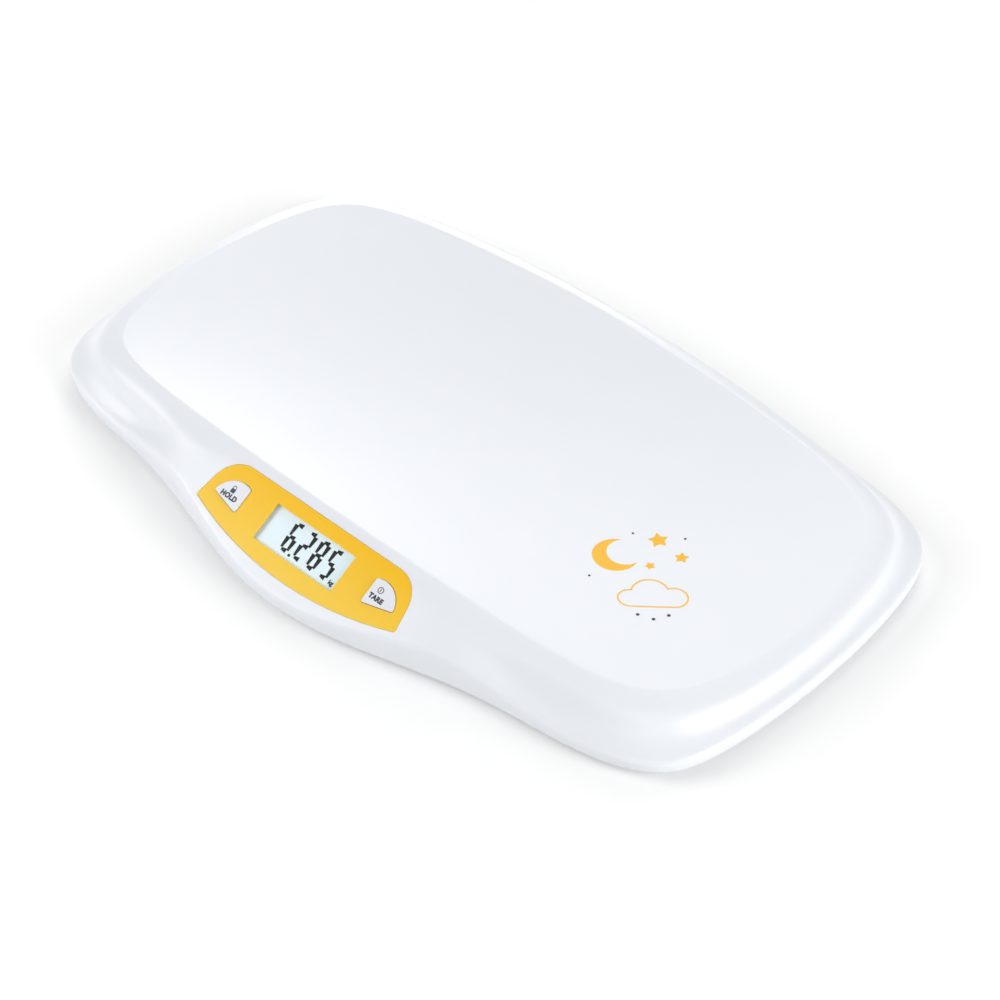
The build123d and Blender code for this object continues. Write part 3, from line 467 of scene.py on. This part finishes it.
def buildLegends():
    s = legendSet
    level = s["level"] + signLift
    for name, word, body in (("holdWord", "HOLD", "hold_key"), ("tareWord", "TARE", "tare_key")):
        u, v, height = s[name]
        mesh = textMesh(word, height, s["spacing"], s["bold"])
        mesh.transform(panelSpot(u, v, level))
        pieceFrom(mesh, name, darkInk, body)

    p = lockSet
    lock = bmesh.new()  # padlock: a body with round corners under a bow
    plate = bmesh.ops.create_grid(lock, x_segments=1, y_segments=1, size=0.5)
    bmesh.ops.scale(lock, vec=(*p["body"], 1), verts=plate["verts"])
    bmesh.ops.bevel(lock, geom=list(lock.verts), offset=p["corner"], affect="VERTICES", segments=4,
                    profile=0.5, material=-1)
    bmesh.ops.translate(lock, vec=(0, -p["drop"], 0), verts=lock.verts)
    bow = [lock.verts.new((x, p["legFoot"], 0)) for x in p["bow"]]
    bowEdge = lock.edges.new(bow)
    legs = bmesh.ops.extrude_edge_only(lock, edges=[bowEdge])
    top = [v for v in legs["geom"] if isinstance(v, bmesh.types.BMVert)]
    bmesh.ops.translate(lock, vec=(0, p["leg"], 0), verts=top)
    topEdge = [e for e in legs["geom"]
               if isinstance(e, bmesh.types.BMEdge) and all(v in top for v in e.verts)]
    arch = bmesh.ops.spin(lock, geom=top + topEdge, cent=(0, p["legFoot"] + p["leg"], 0), axis=(0, 0, 1),
                          angle=math.pi, steps=16)
    foot = [g for g in arch["geom_last"] if isinstance(g, bmesh.types.BMEdge)]
    last = bmesh.ops.extrude_edge_only(lock, edges=foot)
    lastVerts = [v for v in last["geom"] if isinstance(v, bmesh.types.BMVert)]
    bmesh.ops.translate(lock, vec=(0, -p["leg"], 0), verts=lastVerts)
    thicken(lock, signThick)
    u, v, size = s["lock"]
    bmesh.ops.scale(lock, vec=(size * mm, size * mm, mm), verts=lock.verts)
    bmesh.ops.transform(lock, matrix=panelSpot(u, v, level), verts=lock.verts)
    pieceFromBmesh(lock, "lockSign", darkInk, "hold_key")

    power = bmesh.new()  # on and off sign: a thin ring with an upright stroke in it
    u, v, radius, line = s["power"]
    start = [power.verts.new((radius - line, 0, 0)), power.verts.new((radius, 0, 0))]
    bmesh.ops.spin(power, geom=start + [power.edges.new(start)], cent=(0, 0, 0), axis=(0, 0, 1),
                   angle=2 * math.pi, steps=48, use_merge=True)
    stroke = bmesh.ops.create_grid(power, x_segments=1, y_segments=1, size=0.5)
    bmesh.ops.scale(power, vec=(line * 1.1, s["stroke"], 1), verts=stroke["verts"])
    thicken(power, signThick)
    bmesh.ops.scale(power, vec=(mm, mm, mm), verts=power.verts)
    bmesh.ops.transform(power, matrix=panelSpot(u, v, level), verts=power.verts)
    pieceFromBmesh(power, "powerSign", darkInk, "tare_key")


buildLegends()
print("key legends made")


# Tray print: a moon, stars and a cloud, laid on the tray's surface

printSet = {"centre": (158.0, -30.0), "turn": 43.5, "thick": 0.16, "stroke": 1.0,
            "moon": (-13.0, 17.0, 14.0, 24.0),
            "stars": ((13.0, 30.0, 6.6, 8.0), (26.0, 15.0, 4.8, -10.0), (7.0, 8.0, 3.6, 24.0)),
            "cloud": ((-6.0, -20.0, 7.0, 80.5, 270.0), (6.0, -15.0, 11.0, 16.9, 170.0),
                      (20.0, -19.0, 8.0, -90.0, 115.8)), "base": (7.0, -27.0, 26.0),
            "drops": ((-2.0, -34.0), (7.0, -37.5), (16.0, -34.0)), "drop": 1.1,
            "dots": ((29.0, 31.0), (-2.0, 36.0), (-29.0, -2.0)), "dot": 0.8, "castFrom": 200.0}
moonSet = {"outer": (50.0, 260.0), "inner": (75.9, 208.2), "shift": 0.45, "bite": 0.79}  # start and sweep


def addMoon(bm, x, y, size, lean):
    # a strip whose long sides become the two arcs of a crescent
    m = moonSet
    verts = bmesh.ops.create_grid(bm, x_segments=28, y_segments=3, size=1.0)["verts"]
    for vert in verts:
        along = (vert.co.x + 1) / 2
        outer, inner = (math.radians(m[arc][0] + m[arc][1] * along) for arc in ("outer", "inner"))
        far = Vector((math.cos(outer), math.sin(outer), 0))
        near = Vector((m["shift"] + m["bite"] * math.cos(inner), m["bite"] * math.sin(inner), 0))
        vert.co = far.lerp(near, (vert.co.y + 1) / 2)
    bmesh.ops.scale(bm, vec=(size, size, 1), verts=verts)
    bmesh.ops.rotate(bm, cent=(0, 0, 0), matrix=Matrix.Rotation(math.radians(lean), 3, "Z"), verts=verts)
    bmesh.ops.translate(bm, vec=(x, y, 0), verts=verts)


def addStar(bm, x, y, size, lean):
    star = bmesh.new()
    verts = bmesh.ops.create_circle(star, cap_ends=True, segments=10, radius=size)["verts"]
    bmesh.ops.scale(star, vec=(0.52, 0.52, 1), verts=verts[1::2])
    bmesh.ops.bevel(star, geom=verts, offset=size * 0.14, affect="VERTICES", segments=4, profile=0.5,
                    material=-1)
    bmesh.ops.poke(star, faces=star.faces)
    turn = Matrix.Rotation(math.radians(lean), 3, "Z")
    bmesh.ops.rotate(star, cent=(0, 0, 0), matrix=turn, verts=star.verts)
    bmesh.ops.translate(star, vec=(x, y, 0), verts=star.verts)
    mesh = bpy.data.meshes.new("star")
    star.to_mesh(mesh)
    star.free()
    bm.from_mesh(mesh)
    bpy.data.meshes.remove(mesh)


def addArc(bm, x, y, radius, start, end, stroke):
    angle = math.radians(start)
    ends = [bm.verts.new((x + r * math.cos(angle), y + r * math.sin(angle), 0))
            for r in (radius - stroke / 2, radius + stroke / 2)]
    bmesh.ops.spin(bm, geom=ends + [bm.edges.new(ends)], cent=(x, y, 0), axis=(0, 0, 1),
                   angle=math.radians(end - start), steps=28)


def layOnTray(bm, name, material):
    s = printSet
    x, y = s["centre"]
    bmesh.ops.remove_doubles(bm, verts=bm.verts, dist=0.01)
    place = Matrix.Translation((x * mm, (traySet["y"] + y) * mm, 0))
    turned = place @ Matrix.Rotation(math.radians(s["turn"]), 4, "Z")
    bmesh.ops.transform(bm, matrix=turned @ Matrix.Scale(mm, 4), verts=bm.verts)
    bmesh.ops.recalc_face_normals(bm, faces=bm.faces)
    shell = bmesh.new()
    shell.from_mesh(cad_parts["top_shell"].data)
    surface = BVHTree.FromBMesh(shell)
    shell.free()
    made = bmesh.ops.extrude_face_region(bm, geom=list(bm.faces))
    upper = set(v for v in made["geom"] if isinstance(v, bmesh.types.BMVert))
    for vert in bm.verts:
        above = Vector((vert.co.x, vert.co.y, s["castFrom"] * mm))
        spot = surface.ray_cast(above, Vector((0, 0, -1)))[0]
        vert.co.z = spot.z + (traySet["printLift"] - (0 if vert in upper else s["thick"])) * mm
    pieceFromBmesh(bm, name, material, "housing")


def buildPrint():
    s = printSet
    bm = bmesh.new()
    addMoon(bm, *s["moon"])
    for star in s["stars"]:
        addStar(bm, *star)
    layOnTray(bm, "printMoonStars", yellowInk)

    bm = bmesh.new()
    for arc in s["cloud"]:
        addArc(bm, *arc, s["stroke"])
    x, y, length = s["base"]
    base = bmesh.ops.create_grid(bm, x_segments=8, y_segments=1, size=0.5)["verts"]
    bmesh.ops.scale(bm, vec=(length, s["stroke"], 1), verts=base)
    bmesh.ops.translate(bm, vec=(x, y, 0), verts=base)
    layOnTray(bm, "printCloud", yellowInk)

    bm = bmesh.new()
    for x, y in s["drops"]:
        addDot(bm, x, y, s["drop"])
    for x, y in s["dots"]:
        addDot(bm, x, y, s["dot"])
    layOnTray(bm, "printDots", darkInk)


buildPrint()
print("tray print laid on")


# Stage, light and camera

cameraSet = {"azimuth": 43.487, "elevation": 43.052, "distance": 1606.518, "lens": 91.728,
             "right": 12.76, "up": -25.297, "aim": (0.0, 13.55, 3.0)}
floorSet = {"half": 6.0, "colour": "#F4F4F4", "glow": 0.165, "glowReach": (0.8, 2.4)}
lightSet = {"world": 0.17,
            "lamps": (("overLamp", (-0.5, 1.5, 1.6), 1.6, 12.0), ("rightLamp", (2.3, 0.3, 1.0), 1.6, 38.0),
                      ("frontLamp", (-1.6, -1.4, 1.2), 1.6, 33.0), ("nearLamp", (1.2, -1.3, 1.3), 1.6, 8.5),
                      ("sideLamp", (-1.8, 1.9, 0.5), 1.6, 28.0))}


def shownRays(owner):  # one for a ray from the camera, also off a glossy piece or through a clear one
    rays = addNode(owner, "ShaderNodeLightPath")
    shown = rays.outputs["Is Camera Ray"]
    for kind in ("Is Glossy Ray", "Is Transmission Ray"):
        shown = addNode(owner, "ShaderNodeMath", {0: shown, 1: rays.outputs[kind]},
                        operation="MAXIMUM").outputs["Value"]
    return shown


def buildStage():
    bm = bmesh.new()
    bmesh.ops.create_grid(bm, x_segments=1, y_segments=1, size=floorSet["half"])
    mesh = bpy.data.meshes.new("floor")
    bm.to_mesh(mesh)
    bm.free()
    floor = bpy.data.objects.new("floor", mesh)
    bpy.context.scene.collection.objects.link(floor)
    material, shader = newMaterial("paleFloor", Base_Color=linear(floorSet["colour"]), Roughness=0.9,
                                   Specular_IOR_Level=0.0, Emission_Color=(1, 1, 1, 1))
    far = addNode(material, "ShaderNodeVectorMath", {0: objectPoint(material)}, operation="LENGTH")
    glow = rangeOf(material, far.outputs["Value"], floorSet["glowReach"], (floorSet["glow"], 1.0))
    gain = addNode(material, "ShaderNodeMath", {0: shownRays(material), 1: glow}, operation="MULTIPLY")
    link(material, gain.outputs["Value"], shader.inputs["Emission Strength"])
    mesh.materials.append(material)

    world = bpy.data.worlds.new("studio")
    world.use_nodes = True
    background = world.node_tree.nodes["Background"]
    background.inputs["Color"].default_value = (1, 1, 1, 1)
    background.inputs["Strength"].default_value = lightSet["world"]
    bpy.context.scene.world = world


def addLamp(name, place, size, power):
    light = bpy.data.lights.new(name, "AREA")
    light.shape = "DISK"
    light.size = size
    light.energy = power
    lamp = bpy.data.objects.new(name, light)
    lamp.location = place
    lamp.rotation_euler = (-Vector(place)).to_track_quat("-Z", "Y").to_euler()
    bpy.context.scene.collection.objects.link(lamp)


def addCamera():
    s = cameraSet
    azimuth = math.radians(s["azimuth"])
    elevation = math.radians(s["elevation"])
    right = Vector((math.cos(azimuth), math.sin(azimuth), 0))
    back = Vector((math.sin(azimuth) * math.cos(elevation), -math.cos(azimuth) * math.cos(elevation),
                   math.sin(elevation)))
    up = back.cross(right)
    place = (Vector(s["aim"]) + back * s["distance"] + right * s["right"] + up * s["up"]) * mm
    camera = bpy.data.cameras.new("camera")
    camera.lens = s["lens"]
    camera.clip_end = 50
    lookout = bpy.data.objects.new("camera", camera)
    lookout.matrix_world = Matrix.Translation(place) @ Matrix((right, up, back)).transposed().to_4x4()
    bpy.context.scene.collection.objects.link(lookout)
    bpy.context.scene.camera = lookout


buildStage()
for lamp in lightSet["lamps"]:
    addLamp(*lamp)
addCamera()
bpy.context.scene.view_settings.view_transform = "Standard"
print("stage, lamps and camera set")
